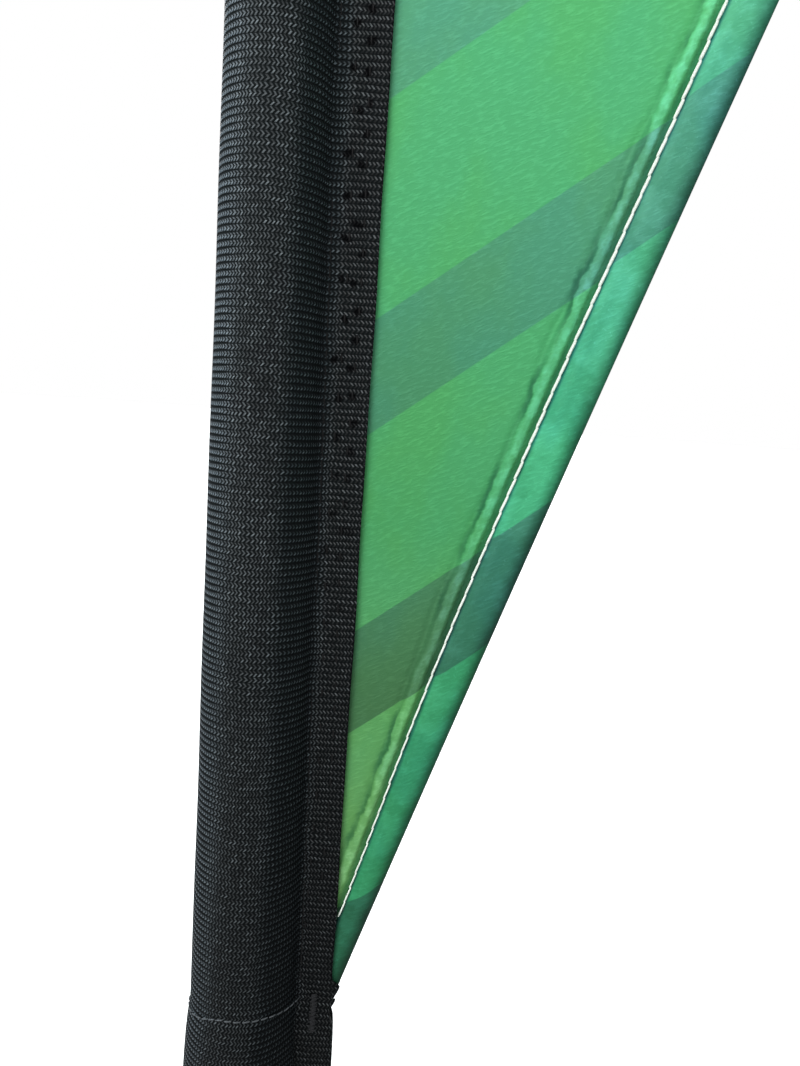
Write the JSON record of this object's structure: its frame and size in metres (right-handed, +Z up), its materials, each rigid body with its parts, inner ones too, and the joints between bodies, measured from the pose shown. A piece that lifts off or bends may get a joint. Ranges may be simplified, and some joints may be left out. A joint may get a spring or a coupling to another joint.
{
  "type": "teardrop flag",
  "caption": "Small teardrop flag: printed cloth with a sewn pole sleeve on a bent pole, held by a strap and snap hook, on a turning spindle and folding cross base.",
  "frame": {"origin": "on the floor at the pole's axis, at the middle of the centre pad's underside", "axes": "+Z up along the pole, +X from the pole toward the flag's trailing edge, +Y out of the flag's back"},
  "size_m": [1.083, 0.86, 2.2835],
  "materials": {
    "bar_paint": "satin dark grey powder coat",
    "black_rubber": "matte black",
    "zinc_steel": "zinc plated",
    "white_nylon": "natural",
    "black_tube": "semi-gloss glass-fibre tube",
    "plain_aluminium": "satin",
    "collar_plastic": "matte black",
    "sleeve_cloth": "coarse black woven polyester",
    "printed_cloth": "green knitted polyester with slanted darker stripes",
    "hem_cloth": "the same printed cloth, turned over and sewn"
  },
  "bodies": {
    "base": {"lower_bar": "bar_paint", "lower_foot_right": "black_rubber", "lower_foot_left": "black_rubber", "lower_rivet_right": "zinc_steel", "lower_rivet_left": "zinc_steel", "centre_pad": "black_rubber", "pivot_bolt": "zinc_steel", "friction_washer": "white_nylon", "top_washer": "white_nylon", "bearing_housing": "bar_paint", "lower_bush": "white_nylon", "upper_bush": "white_nylon"},
    "cross_arm": {"upper_bar": "bar_paint", "upper_foot_back": "black_rubber", "upper_foot_front": "black_rubber", "upper_rivet_back": "zinc_steel", "upper_rivet_front": "zinc_steel"},
    "turning_spindle": {"spindle": "zinc_steel", "retaining_ring": "zinc_steel"},
    "mast": {"foot_ferrule": "black_rubber", "lower_tube": "black_tube", "joint_spigot": "plain_aluminium", "middle_tube": "black_tube", "rod_bush": "plain_aluminium", "tip_rod": "black_tube", "tip_cap": "black_rubber", "pole_sleeve": "sleeve_cloth", "sleeve_cuff": "sleeve_cloth", "tip_pocket": "sleeve_cloth", "flag_panel": "printed_cloth", "trailing_hem": "hem_cloth", "tension_strap": "sleeve_cloth", "hook_body": "zinc_steel", "gate_pin": "zinc_steel", "pole_collar": "collar_plastic", "collar_screw": "zinc_steel"},
    "gate": {"hook_gate": "zinc_steel"}
  },
  "joints": [
    {"name": "cross_fold", "type": "hinge", "parent": "base", "child": "cross_arm", "pos_m": [0, 0, 0.018], "axis": [0, 0, 1], "range_deg": [-84, 84]},
    {"name": "flag_turn", "type": "hinge", "parent": "base", "child": "turning_spindle", "pos_m": [0, 0, 0.07], "axis": [0, 0, 1], "continuous": true},
    {"name": "mast_lift", "type": "slide", "parent": "turning_spindle", "child": "mast", "axis": [0, 0, 1], "range_m": [0, 0.26]},
    {"name": "hook_gate_swing", "type": "hinge", "parent": "mast", "child": "gate", "pos_m": [0.0367, 0, 0.311], "axis": [0, 1, 0], "range_deg": [0, 22], "stiffness_Nm_per_rad": 0.03, "springref_deg": -20.05}
  ]
}
